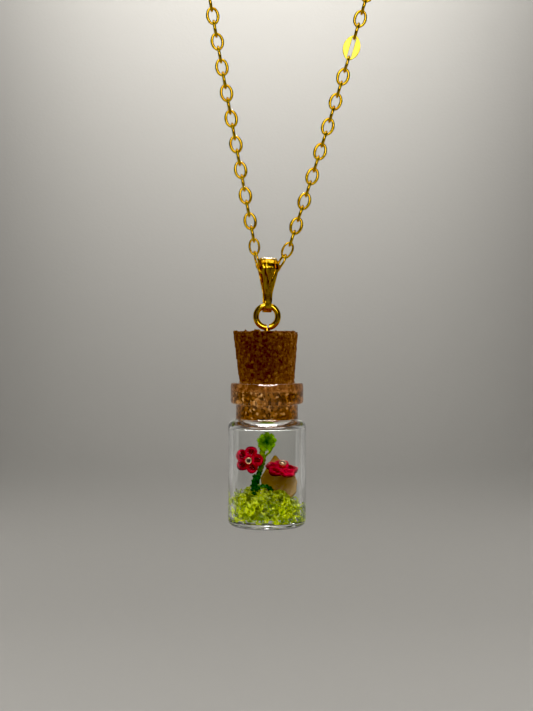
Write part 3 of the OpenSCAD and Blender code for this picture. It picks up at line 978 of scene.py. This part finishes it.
# %% [markdown]
# ## Thread
#
# The flowers, the leaf and the stem are worked in cotton thread. On the real one each stitch shows as a
# short twisted loop, so the thread itself is modelled: a line is laid as the stitch runs, two plies are
# wound round it, and each ply is a curve with a round section. Winding by formula keeps every loop closed
# and lets one line stand for any number of stitches.

# %% Lines and threads
def eased(points, step=0.12):
    """A smooth line through a few points, in short steps."""
    knots = [Vector(p) for p in points]
    knots = [2 * knots[0] - knots[1], *knots, 2 * knots[-1] - knots[-2]]
    line = []
    for a, b, c, d in zip(knots, knots[1:], knots[2:], knots[3:]):
        count = max(1, ceil((c - b).length / step))
        for t in (k / count for k in range(count)):
            even = 2 * b + t * (c - a)
            bow = t * t * (2 * a - 5 * b + 4 * c - d) + t**3 * (3 * b - 3 * c + d - a)
            line.append(0.5 * (even + bow))
    return line + [knots[-2]]


def travelled(line):
    """Each point of a line with its two side directions and the length gone so far."""
    side = (line[1] - line[0]).orthogonal()
    gone = 0
    for here, ahead in zip(line, line[1:] + [2 * line[-1] - line[-2]]):
        along = (ahead - here).normalized()
        side = (side - along * side.dot(along)).normalized()
        yield here, side, along.cross(side), gone
        gone += (ahead - here).length


def wound(line, radius, turns, start):
    """The line of one ply, which winds round another line with so many turns a millimetre."""
    ply = []
    for here, side, up, gone in travelled(line):
        a = start + 2 * pi * turns * gone
        ply.append(here + radius * (cos(a) * side + sin(a) * up))
    return ply


def plaited(line, wide, deep, turns, start):
    """The line of one strand of a flat plait, which is how a chain of stitches looks."""
    strand = []
    for here, side, up, gone in travelled(line):
        a = start + 2 * pi * turns * gone
        strand.append(here + wide * sin(a) * side + deep * sin(2 * a) * up)
    return strand


def curve_piece(name, lines, depth, resolution=1, wide=0.0, tilts=None, twist=0.0):
    """A mesh made of curves with a round or flat section."""
    bpy.ops.curve.primitive_bezier_curve_add()
    piece = new_piece(name)
    curve = piece.data
    curve.splines.clear()
    curve.dimensions = "3D"
    curve.twist_mode = "MINIMUM"
    curve.bevel_depth = depth
    curve.bevel_resolution = resolution
    curve.extrude = wide
    curve.use_fill_caps = True
    for k, line in enumerate(lines):
        spline = curve.splines.new("POLY")
        spline.points.add(len(line) - 1)
        for step, (point, place) in enumerate(zip(spline.points, line)):
            point.co = (*place, 1)
            point.tilt = tilts[k] + twist * step if tilts else 0
    only(piece)
    bpy.ops.object.convert(target="MESH")
    smooth(piece, 80)
    return piece


PLY_SHARE = 0.29


def thread(name, lines, thick, turns=0.9, resolution=1):
    ply = thick * PLY_SHARE
    plied = [wound(line, thick / 2 - ply, turns, start) for line in lines for start in (0, pi)]
    return curve_piece(name, plied, ply, resolution)


def wobble(chance, size):
    return Vector(chance.uniform(-size, size) for _ in range(3))


def on_round(centre, r, a, up):
    """A point at a radius and an angle from straight up, lifted by so much."""
    return Vector((centre[0] + r * sin(a), centre[1] + r * cos(a), centre[2] + up))


def coil(centre, radius, tube, turns, chance, height=1.0, steps=9, loose=0.12):
    """Thread wound round and round a small ring, as in a crocheted lobe."""
    line = []
    swell = chance.uniform(0, 2 * pi)
    for k in range(turns * steps + 1):
        a = 2 * pi * k / (turns * steps)
        b = 2 * pi * k / steps
        slack = 1 + loose * sin(3 * a + swell) + chance.uniform(-loose, loose) / 2
        r = radius + tube * cos(b) * slack
        line.append(on_round(centre, r, a, tube * sin(b) * slack * height))
    return line


CUP_STEPS = 11


def cup(centre, radius, pitch, depth, chance, loose=0.03):
    """Thread laid round and round from the middle of a shallow cup to its rim."""
    count = ceil(CUP_STEPS * radius / pitch)
    line = []
    for k in range(count + 1):
        r = radius * k / count
        a = 2 * pi * k / CUP_STEPS
        line.append(on_round(centre, r, a, depth * (r / radius) ** 2) + wobble(chance, loose))
    return line


def loop(centre, radius, lift, chance, loose=0.05, steps=22):
    """One closed round of thread, a little uneven."""
    swell = chance.uniform(0, 2 * pi)
    line = []
    for k in range(steps + 1):
        a = 2 * pi * k / steps
        r = radius * (1 + loose * sin(3 * a + swell))
        line.append(on_round(centre, r, a, lift + loose * sin(2 * a + swell)))
    return line

# %% [markdown]
# ## Crimson flowers
#
# Each flower has five round petals worked outward from a small ring, so a petal is a cup: its floor is
# thread laid round and round, its rim is a few rounds of thread that stand up and catch the light, and
# stitches run from the ring over its foot. The cups overlap and close the middle, where a bead sits. The
# left flower faces the viewer and the right one lies on its side, and both come from the same function. A
# round of a petal is given by how far in from its edge it runs, how high and how loosely. A bead is a torus
# drawn long, with a knot of thread in its bore.

# %% Flowers
BEAD_D = 1.2
BEAD_WALL = 0.3
FLOWER_T = 0.9
BEAD_RISE = FLOWER_T / 2 + BEAD_D * 0.3
BEAD_LIFT = 0.12
BEAD_LONG = 3
BEAD_SHADE_R = 0.41
BEAD_SHADE_EDGE = 0.05
KNOT_R = 0.16
KNOT_TUBE = 0.12
THREAD = 0.24
PETALS = 5
PETAL_SHARE = 0.22
PETAL_FLOOR = 0.22
PETAL_ROUNDS = ((0.2, -0.2, 0.04), (0.12, 0.02, 0.06), (0.22, 0.24, 0.08), (0.42, 0.22, 0.1))
STITCH_TURNS = (-0.45, 0, 0.45)
STITCH_FOOT = 0.55


def seat(node, turn):
    """Place of a flower lying flat, from its bead's place in the CAD and the flower's turn."""
    low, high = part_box(node)
    bead = VIAL_PLACE.inverted() @ ((low + high) / 2)
    return VIAL_PLACE @ Matrix.Translation(bead) @ turn @ Matrix.Translation((0, 0, -BEAD_RISE))


def mark(piece, name, value):
    """Notes a value on each vertex, which the finish reads."""
    noted = piece.data.attributes.new(name, "FLOAT", "POINT")
    noted.data.foreach_set("value", [min(1.0, max(0.0, value(v.co))) for v in piece.data.vertices])


def flower(name, across, seed):
    chance = random.Random(seed)
    petal_r = across * PETAL_SHARE
    out = across / 2 - petal_r
    lines = [cup((0, 0, -0.02), 0.75, 0.2, 0.08, chance), coil((0, 0, 0.08), 0.66, 0.15, 12, chance)]
    for k in range(PETALS):
        a = 2 * pi * k / PETALS + chance.uniform(-0.06, 0.06)
        size = petal_r * chance.uniform(0.96, 1.08)
        middle = Vector((out * sin(a), out * cos(a), chance.uniform(-0.12, 0.04)))
        lines.append(cup(middle - Vector((0, 0, PETAL_FLOOR)), size * 0.9, 0.17, 0.22, chance, 0.04))
        for inset, lift, loose in PETAL_ROUNDS:
            lines.append(loop(middle, size - inset, lift, chance, loose))
        for turn in STITCH_TURNS:
            foot = on_round((0, 0, 0), STITCH_FOOT, a + turn, 0.14)
            tip = middle + on_round((0, 0, 0), 0.6 * size, a + 2.0 * turn, 0.1)
            lines.append(eased([foot, (foot + tip) / 2 - Vector((0, 0, 0.04)), tip]))
    bloom = thread(name, lines, THREAD, turns=1.3)
    # how far each stitch stands up, for the painted shade in its finish
    mark(bloom, "rise", lambda co: (co.z + 0.4) / 0.85)
    return bloom


FACING = Matrix.Rotation(pi / 2, 4, "X") @ Matrix.Rotation(radians(-15), 4, "Z")
LYING = Matrix.Rotation(radians(8), 4, "Y") @ Matrix.Rotation(radians(20), 4, "X")
FLOWERS = (("left", 4.8, FACING, 0, 3), ("right", 5.7, LYING, -0.35, 8))
beads = []
for side, across, turn, shift, seed in FLOWERS:
    place = Matrix.Translation((shift * MM, 0, 0)) @ seat(f"bead_{side}", turn)
    bloom = flower(f"crimson_flower_{side}", across, seed)
    settle(bloom, place)
    hand_over(bloom, "pendant", crimson_thread, "flower_thread", f"flower_{side}")
    bpy.ops.mesh.primitive_torus_add(
        major_radius=(BEAD_D - BEAD_WALL) / 2,
        minor_radius=BEAD_WALL / 2,
        major_segments=40,
        minor_segments=20,
        location=(0, 0, 0),
    )
    bead = new_piece(f"copper_bead_{side}")
    with edit_mode(bead):
        bpy.ops.mesh.select_all(action="SELECT")
        bpy.ops.transform.resize(value=(1, 1, BEAD_LONG))
        bpy.ops.transform.translate(value=(0, 0, BEAD_RISE + BEAD_LIFT))
    smooth(bead, 80)
    wraps = coil((0, 0, BEAD_RISE + BEAD_LIFT), KNOT_R, KNOT_TUBE, 5, random.Random(seed))
    knot = thread("knot", [wraps], THREAD)
    bead = joined(f"copper_bead_{side}", [bead, knot])
    # marks the bore, where the finish paints shade
    mark(bead, "bore", lambda co: (BEAD_SHADE_R - hypot(co.x, co.y)) / BEAD_SHADE_EDGE)
    settle(bead, place)
    hand_over(bead, "pendant", bead_metal, "bead_metal", f"bead_{side}")
    beads.append(bead)

# %% [markdown]
# ## Leaf bud
#
# The bud is a small round of bright green crochet, seen flat. Its edge is a ring of lobes that catch the
# light and its middle lies deeper, where the finish paints it darker as shade. Two thin cups of thread back
# to back give the body, and lobes of wound thread ring them, each a little out of line, as stitches are.

# %% Leaf bud
BUD_LOBES = 9
BUD_KNOTS = 5
BUD_CUP_R = 1.3
BUD_CUP_HALF = 0.2
BUD_KNOT_OUT = 0.62
BUD_LOBE_OUT = 1.2
BUD_THREAD = 0.28

chance = random.Random(21)
lines = []
for face in (1, -1):
    half = cup((0, 0, 0), BUD_CUP_R, 0.26, 0.12, chance, 0.07)
    lines.append([Vector((p.x, p.y, face * (BUD_CUP_HALF + p.z))) for p in half])
    for k in range(BUD_KNOTS):
        middle = on_round((0, 0, 0), BUD_KNOT_OUT, 2 * pi * (k + 0.3) / BUD_KNOTS, face * 0.4)
        lines.append(coil(middle, 0.2, 0.15, 6, chance, loose=0.3))
for k in range(BUD_LOBES):
    reach = BUD_LOBE_OUT + chance.uniform(-0.12, 0.08)
    middle = on_round((0, 0, 0), reach, 2 * pi * k / BUD_LOBES, chance.uniform(-0.1, 0.16))
    lines.append(coil(middle, 0.22, 0.2, 8, chance, 1.3, loose=0.2))
leaf = thread("green_leaf", lines, BUD_THREAD, turns=1.0)
settle(leaf, VIAL_PLACE @ Matrix.Translation(BUD_MIDDLE) @ Matrix.Rotation(pi / 2, 4, "X"))
hand_over(leaf, "pendant", leaf_thread, "leaf_thread", "leaf_bud")

# %% [markdown]
# ## Stem
#
# The stem is a chain of crochet stitches, which looks like a plait of thick thread: stout at the foot,
# slimmer above the left flower, with a thin second strand to the bud and a lump of stitches at the base.
# Three strands swing from side to side past each other by formula, and each strand is wound of two plies.

# %% Stem
def plait(name, points, thick, turns):
    line = eased(points, 0.09)
    strand_r = thick * 0.21
    strands = [
        plaited(line, thick / 2 - strand_r, thick * 0.16, turns, 2 * pi * k / 3)
        for k in range(3)
    ]
    return thread(name, strands, 2 * strand_r, turns=1.1, resolution=2)


FOOT = [(-1.95, -0.39, 1.9), (-2.08, -0.39, 4.4), (-2.16, -0.37, 6.2), (-1.7, -0.22, 8.4)]
SHOOT = [
    (-1.65, -0.3, 7.6), (-1.2, -0.12, 9.2), (-0.75, 0, 10.5), (-0.6, 0.05, 11.4), (-0.85, 0.11, 12.5),
    (-0.6, 0.11, 13.3),
]
SPRIG = [(-0.5, 0.1, 11.1), (-0.1, 0.11, 11.8), (0.5, 0.11, 12.4), (1.0, 0.11, 13.3)]
ROOT = [(-1.7, -0.3, 6.3), (-0.8, -0.5, 6.6), (0.1, -0.5, 6.5), (0.9, -0.3, 5.9)]
stem = joined("green_stem", [
    plait("foot", FOOT, 1.6, 0.42),
    plait("shoot", SHOOT, 1.1, 0.55),
    thread("sprig", [eased(SPRIG)], 0.42),
    plait("root", ROOT, 1.0, 0.5),
])
settle(stem)
hand_over(stem, "pendant", stem_thread, "stem_thread", "stem")

# %% [markdown]
# ## Shredded filling
#
# The heap is glossy lime shred: flat curled ribbons, loose enough for light to fall between them. Each
# ribbon wanders on by small turns, kept under the heap's dome and inside the glass. Every third one runs
# along the glass, because the real heap presses against it all round. A rough core fills the middle, where
# nothing can be told apart, and the finish paints it dark as shade. The ribbons are one curve object, which
# becomes one mesh.

# %% Shredded filling heap
SHRED_H = 5.3
DOME = 10
DOME_X = -1.2
RIBBONS = 640
RIBBON_W = 0.22
RIBBON_HALF_T = 0.025
RIBBON_STEPS = (9, 20)
RIBBON_CURL = (0.25, 0.85)
STRAY = (-0.7, 0.7)
STEP = 0.27
HEAP_R = 5.3
HEAP_EDGE = 0.98
WALL_R = CAVITY_R - 0.06
PRESSED_R = CAVITY_R + 0.03
CORE_R = 4.4
CORE_Z = FLOOR + 0.2
CORE_VOXEL = 0.22


def heap_top(x, y):
    return FLOOR + SHRED_H - DOME + sqrt(DOME**2 - (x - DOME_X) ** 2 - y * y)


def any_way(chance, flat=1.0):
    return Vector((chance.gauss(0, 1), chance.gauss(0, 1), flat * chance.gauss(0, 1))).normalized()


def ribbon_line(chance, at_wall):
    """One curled ribbon, kept inside the glass and under the heap's top."""
    r = PRESSED_R if at_wall else HEAP_R * sqrt(chance.uniform(0.1, 1))
    a = chance.uniform(0, 2 * pi)
    here = Vector((r * cos(a), r * sin(a), 0))
    top = heap_top(here.x * HEAP_EDGE, here.y * HEAP_EDGE)
    here.z = chance.uniform(FLOOR, top) if at_wall else chance.uniform(0.25, 1) * (top - FLOOR) + FLOOR
    heading = any_way(chance, 0.7)
    spin = any_way(chance)
    curl = chance.uniform(*RIBBON_CURL)
    over = chance.uniform(*STRAY)
    line = []
    for _ in range(chance.randint(*RIBBON_STEPS)):
        line.append(here.copy())
        heading = (Matrix.Rotation(curl, 3, spin) @ heading).normalized()
        spin = (spin + 0.4 * any_way(chance)).normalized()
        here = here + STEP * heading
        wide = hypot(here.x, here.y)
        if wide > WALL_R or at_wall:
            reach = PRESSED_R if at_wall else WALL_R
            here.x *= reach / wide
            here.y *= reach / wide
        here.z = min(max(here.z, FLOOR + 0.04), heap_top(here.x * HEAP_EDGE, here.y * HEAP_EDGE) + over)
    return line


chance = random.Random(12)
ribbons = [ribbon_line(chance, k % 3 == 0) for k in range(RIBBONS)]
tilts = [chance.uniform(0, pi) for _ in ribbons]
shreds = curve_piece("shreds", ribbons, RIBBON_HALF_T, 0, RIBBON_W / 2, tilts, 0.2)
bpy.ops.mesh.primitive_uv_sphere_add(segments=48, ring_count=24, radius=CORE_R, location=(-0.2, 0, CORE_Z))
core = new_piece("core")
with edit_mode(core):
    bpy.ops.mesh.select_all(action="SELECT")
    bpy.ops.mesh.bisect(plane_co=(0, 0, CORE_Z), plane_no=(0, 0, 1), use_fill=True, clear_inner=True)
modifier(core, "REMESH", mode="VOXEL", voxel_size=CORE_VOXEL)
modifier(core, "DISPLACE", texture=relief("core_tangle", "CLOUDS", 0.7), strength=0.9, mid_level=0.7)
smooth(core, 80)
shreds = joined("shredded_filling", [shreds, core])
settle(shreds)
hand_over(shreds, "pendant", shred_green, "shred_green", "shred")

# %% [markdown]
# ## Stone chip
#
# The chip stands in the filling behind the right flower, with its point up and its edge near the glass. Its
# outline is a ring of nine points, made thick and bevelled. A voxel remesh and a few rounds of smoothing wear
# it down as tumbling does, and slow waves keep its faces from being flat.

# %% Stone chip
CHIP_W = 6.1
CHIP_H = 7.4
CHIP_T = 1.0
CHIP_Z = FLOOR + 3.4
CHIP_AT = radians(8)
CHIP_YAW = radians(-14)
CHIP_TILT = radians(-8)
CHIP_OUTLINE = [
    (-0.05, 0.46), (0.36, 1), (0.64, 0.78), (0.92, 0.62), (1.07, 0.4),
    (1.02, 0.15), (0.84, 0), (0.3, 0), (0.02, 0.22),
]
hinge = (WALL_R - CHIP_T / 2) * Vector((cos(CHIP_AT), sin(CHIP_AT), 0))
bpy.ops.mesh.primitive_circle_add(vertices=len(CHIP_OUTLINE), radius=1, fill_type="NGON")
chip = new_piece("stone_chip")
for vertex, (x, z) in zip(chip.data.vertices, CHIP_OUTLINE):
    vertex.co = ((x - 1) * CHIP_W, 0, z * CHIP_H)
modifier(chip, "SOLIDIFY", thickness=CHIP_T, offset=0)
modifier(chip, "BEVEL", width=0.3, segments=3, limit_method="ANGLE", angle_limit=radians(30))
modifier(chip, "REMESH", mode="VOXEL", voxel_size=0.12)
modifier(chip, "SMOOTH", factor=0.5, iterations=6)
modifier(chip, "DISPLACE", texture=relief("chip_waves", "CLOUDS", 1.6), strength=0.25, mid_level=0.5)
smooth(chip, 80)
settle(
    chip,
    VIAL_PLACE
    @ Matrix.Translation((hinge.x, hinge.y, CHIP_Z))
    @ Matrix.Rotation(CHIP_YAW, 4, "Z")
    @ Matrix.Rotation(CHIP_TILT, 4, "X"),
)
hand_over(chip, "pendant", chip_stone, "chip_stone", "pebble")

# %% [markdown]
# ## Studio
#
# The photograph has a plain pale backdrop with a soft glow at the top that fades to the sides. Here it is a
# bowl of paper: a floor that curves up into a wall all round, so that no edge shows from any side. The wall
# is painted darker behind the sides, as shade. Polished gold shows what stands in front of it, and a room is
# mostly dark, so the front of the bowl is dark for every ray but the straight view. That gives the gold its
# deep shadows.

# %% Floor and wall
FLOOR_Z = VIAL_Z - 0.12
WALL_R_BACK = 1.0
WALL_BEND = 0.5
WALL_TOP = 1.6
PAPER = (0.45, 0.441, 0.42, 1)
PAPER_SHADE_ASIDE = (0.22, 0.216, 0.204, 1)
PAPER_FLOOR = (0.52, 0.51, 0.487, 1)
DARK_WALL = (0.045, 0.043, 0.04, 1)
DARK_FLOOR = (0.2, 0.19, 0.17, 1)

paper_outline = [(0, FLOOR_Z), (WALL_R_BACK - WALL_BEND, FLOOR_Z)]
paper_outline += bend((WALL_R_BACK - WALL_BEND, FLOOR_Z + WALL_BEND), WALL_BEND, -90, 0, 24)[1:]
paper_outline += [(WALL_R_BACK, WALL_TOP)]
sweep = turned("studio_sweep", paper_outline, 96)
smooth(sweep, 60)
f = Finish("studio_paper")
ground = f.node("TexCoord", out=3)
tooth = f.noise(ground, 400, 3)
aside = f.part(f.node("Mapping", {}, {"Vector": ground, "Location": (0.012, 0, 0)}), "X")
# painted shade: the wall is darker behind the sides
shade = f.ramp(aside * aside, -0.01, 0.1) * f.ramp(f.part(ground, "Y"), 0.5, 0.75)
paper = f.blend(shade, PAPER, PAPER_SHADE_ASIDE)
front = f.ramp(f.part(ground, "Y"), 0.35, -0.15)
straight_view = f.node("LightPath")
height = f.ramp(f.part(ground, "Z"), FLOOR_Z + 0.005, FLOOR_Z + 0.06)
paper = f.blend(height, PAPER_FLOOR, paper)
dark = f.blend(height, DARK_FLOOR, DARK_WALL)
paper = f.blend(front * (1 - straight_view), paper, dark)
sweep.data.materials.append(f.done(f.shader(Base_Color=paper, Roughness=0.95, Normal=f.height(tooth, 0.1))))

# %% [markdown]
# A big soft box hangs over the pendant, small ones stand in front, and one at each side lights the thread
# and the cork. Glass shows its shape by what it reflects, so it has lights of its own: one high in front for
# the shoulder, a strip for the glints, and two cards behind that draw its pale edges. These would glare on
# the gold, so light linking keeps each of them to the pieces that need it. A narrow spot from behind lets
# the shred and the stone glow, and two lamps wash the wall, one behind the picture and one in front.

# %% Lights
def soft_light(name, place, aim, size, power, tint=(1, 0.98, 0.95)):
    bpy.ops.object.light_add(type="AREA", location=place)
    light = bpy.context.object
    light.name = name
    light.data.shape = "RECTANGLE"
    light.data.size, light.data.size_y = size
    light.data.energy = power
    light.data.color = tint
    light.rotation_euler = (Vector(aim) - Vector(place)).to_track_quat("-Z", "Y").to_euler()
    light.visible_camera = False
    return light


middle = Vector((VIAL_X, 0, VIAL_Z + 0.03))
soft_light("overhead", (VIAL_X, 0.1, 0.9), middle, (1.2, 1.0), 5.2)
soft_light("front_box", (VIAL_X - 0.15, -0.45, 0.2), middle, (0.2, 0.2), 0.35)
glass_high = soft_light("glass_high", (VIAL_X, -0.3, 0.35), middle, (0.55, 0.45), 20)
glass_high.visible_transmission = False
glass_strip = soft_light("glass_strip", (VIAL_X - 0.06, -0.4, 0.1), middle, (0.3, 0.03), 1.6)
left_card = soft_light("left_card", (VIAL_X - 0.33, 0.56, -0.08), middle, (0.4, 0.5), 0.09)
right_card = soft_light("right_card", (VIAL_X + 0.33, 0.56, -0.08), middle, (0.4, 0.5), 0.09)
cork_right = soft_light("cork_right", (VIAL_X + 0.5, -0.05, -0.05), middle, (0.3, 0.3), 0.8)
for light, pieces in (
    (glass_high, (bottle,)),
    (left_card, (bottle,)),
    (right_card, (bottle,)),
    (glass_strip, (bottle, shreds, chip, *beads)),
    (cork_right, (cork,)),
):
    lit = bpy.data.collections.new(f"{light.name}_lights")
    for piece in pieces:
        lit.objects.link(piece)
    light.light_linking.receiver_collection = lit
soft_light("low_front_box", (0.032, -0.45, -0.05), (0.004, 0, -0.15), (0.2, 0.2), 0.45)
for name, side, power in (("side_box_1", -1, 2.09), ("side_box_3", 1, 1.9)):
    side_box = soft_light(name, (VIAL_X + side * 0.6, 0.1, 0.12), middle, (0.3, 0.4), power)
    side_box.visible_glossy = False
    side_box.visible_transmission = False
bpy.ops.object.light_add(type="SPOT", location=(VIAL_X, 0.75, 0.1))
back_spot = bpy.context.object
back_spot.name = "back_spot"
back_spot.data.energy = 10
back_spot.data.spot_size = radians(7)
back_spot.data.spot_blend = 1.0
back_spot.data.shadow_soft_size = 0.04
towards_heap = Vector((VIAL_X, 0, VIAL_Z + 0.008)) - back_spot.location
back_spot.rotation_euler = towards_heap.to_track_quat("-Z", "Y").to_euler()
soft_light("wall_glow", (VIAL_X, 0.72, 0.22), (VIAL_X, WALL_R_BACK, 0.22), (0.5, 0.06), 2.2)
soft_light("front_wall_glow", (VIAL_X, -0.5, 0.35), (VIAL_X, -WALL_R_BACK, 0.1), (0.6, 0.3), 3)

# %% [markdown]
# The air of the studio gives a faint even light. Deep colours in the photograph run to full darkness, so the
# view's curve starts a little above black.

# %% Air and tone
world = bpy.data.worlds.new("studio_air")
bpy.context.scene.world = world
f = Finish("studio_air", world)
f.node("OutputWorld", {}, {"Surface": f.node("Background", {}, {"Color": (0.12, 0.12, 0.115, 1)})})
BLACK = 0.016
view = bpy.context.scene.view_settings
view.view_transform = "Standard"
view.use_curve_mapping = True
view.curve_mapping.black_level = (BLACK, BLACK, BLACK)
view.curve_mapping.update()
